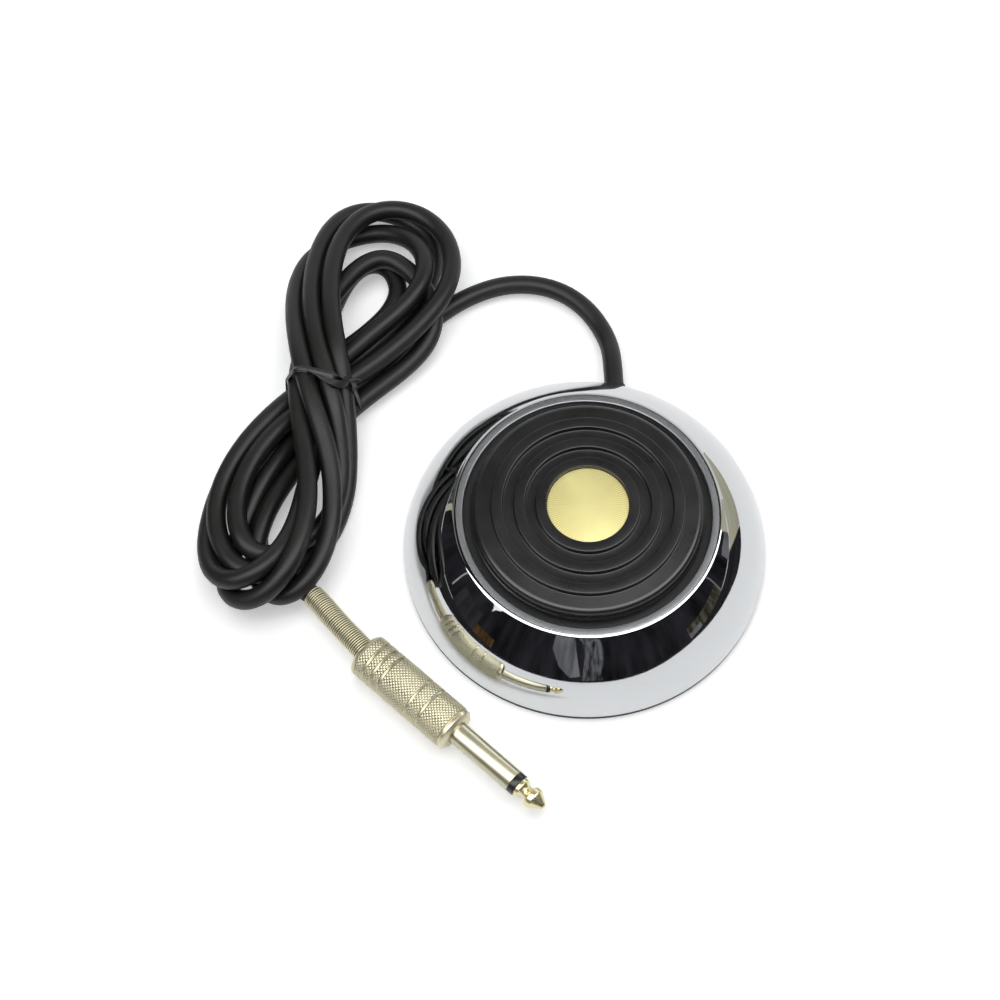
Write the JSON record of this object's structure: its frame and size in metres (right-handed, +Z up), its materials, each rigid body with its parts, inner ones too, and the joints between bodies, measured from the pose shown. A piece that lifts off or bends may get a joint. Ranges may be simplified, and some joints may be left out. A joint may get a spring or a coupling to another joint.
{
  "type": "tattoo foot pedal",
  "caption": "Round low foot switch: domed chrome housing, sprung ringed rubber tread with a gold disc, and a rubber cord, folded and tied, that ends in a mono phone plug.",
  "frame": {"origin": "centre of the round base at the floor, the underside of the rubber ring", "axes": "+Z up through the tread, +Y towards the side where the cord leaves, +X to the right seen from the front"},
  "size_m": [0.1594, 0.188, 0.0296],
  "materials": {
    "chromed_shell": "polished",
    "black_rubber_bush": "satin",
    "zinc_plated_steel": "satin",
    "steel_screws": "satin",
    "foot_rubber": "matte",
    "nylon_bush": "matte",
    "phenolic_board": "matte",
    "contact_brass": "satin",
    "brass_rivets": "satin",
    "steel_rivets": "satin",
    "brass_screws": "satin",
    "clip_steel": "satin",
    "black_core": "satin",
    "red_core": "satin",
    "cord_rubber": "satin",
    "black_tie": "gloss",
    "plated_spring": "polished",
    "plated_barrel": "knurled",
    "plated_sleeve": "polished",
    "black_insulator": "gloss",
    "plated_tip": "polished",
    "white_liner": "matte",
    "tinned_brass": "satin",
    "tread_rubber": "matte",
    "gold_foil": "satin",
    "ground_stem": "satin",
    "holder_nylon": "matte",
    "spring_steel": "satin"
  },
  "bodies": {
    "base": {"shell": "chromed_shell", "cord_bush": "black_rubber_bush", "base_plate": "zinc_plated_steel", "base_screws": "steel_screws", "foot_ring": "foot_rubber", "guide_bush": "nylon_bush", "contact_board": "phenolic_board", "fixed_contact_left": "contact_brass", "fixed_contact_right": "contact_brass", "contact_rivets": "brass_rivets", "board_rivets": "steel_rivets", "terminal_screws": "brass_screws", "cord_clip": "clip_steel", "cord_clip_screw": "steel_screws", "lead_left": "black_core", "lead_right": "red_core", "cord_lead": "cord_rubber", "cord_hank": "cord_rubber", "twist_tie": "black_tie", "cord_tail": "cord_rubber", "plug_spring": "plated_spring", "plug_barrel": "plated_barrel", "plug_sleeve": "plated_sleeve", "plug_insulator": "black_insulator", "plug_tip": "plated_tip", "plug_liner": "white_liner", "plug_lug": "tinned_brass", "plug_lead_tip": "red_core", "plug_lead_sleeve": "black_core"},
    "pad": {"tread_pad": "tread_rubber", "badge_disc": "gold_foil", "pad_plate": "zinc_plated_steel", "guide_stem": "ground_stem", "contact_holder": "holder_nylon", "holder_screws": "steel_screws", "bridge_ring": "contact_brass", "return_spring": "spring_steel"}
  },
  "joints": [
    {"name": "pad_press", "type": "slide", "parent": "base", "child": "pad", "axis": [0, 0, -1], "range_m": [0, 0.0022], "stiffness_N_per_m": 2500, "springref_m": -0.003, "deforming": ["return_spring"]}
  ]
}
